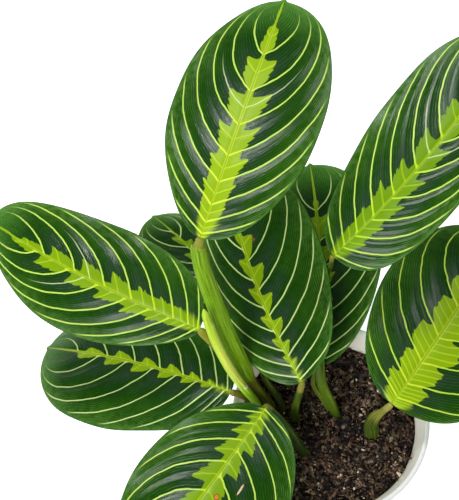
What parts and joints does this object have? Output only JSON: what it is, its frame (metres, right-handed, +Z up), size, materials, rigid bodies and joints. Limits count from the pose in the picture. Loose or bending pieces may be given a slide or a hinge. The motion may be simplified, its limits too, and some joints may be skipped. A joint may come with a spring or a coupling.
{
  "type": "potted prayer plant maranta",
  "caption": "Prayer plant in a round nursery pot: broad oval leaves with herringbone veins, arching out on short stalks, one leaf still rolled.",
  "frame": {"origin": "centre of the pot's flat underside", "axes": "+Z up the pot's axis, +Y towards the back of the plant, where the tallest leaf points, +X to the plant's right seen from the front"},
  "size_m": [0.2906, 0.2658, 0.2052],
  "materials": {
    "pot": "smooth white plastic",
    "soil": "damp dark potting mix",
    "blade": "satin dark green leaf with lime herringbone",
    "stalk": "finely ribbed green stalk",
    "new_leaf": "bright lime rolled leaf"
  },
  "bodies": {
    "root": {"pot": "pot", "soil": "soil", "leaf_top": "blade", "leaf_upper_left": "blade", "leaf_lower_left": "blade", "leaf_front": "blade", "leaf_centre": "blade", "leaf_back_left": "blade", "leaf_back": "blade", "leaf_upper_right": "blade", "leaf_lower_right": "blade", "stalk_top": "stalk", "stalk_upper_left": "stalk", "stalk_lower_left": "stalk", "stalk_front": "stalk", "stalk_centre": "stalk", "stalk_back_left": "stalk", "stalk_back": "stalk", "stalk_upper_right": "stalk", "stalk_lower_right": "stalk", "new_leaf": "new_leaf"}
  },
  "joints": []
}
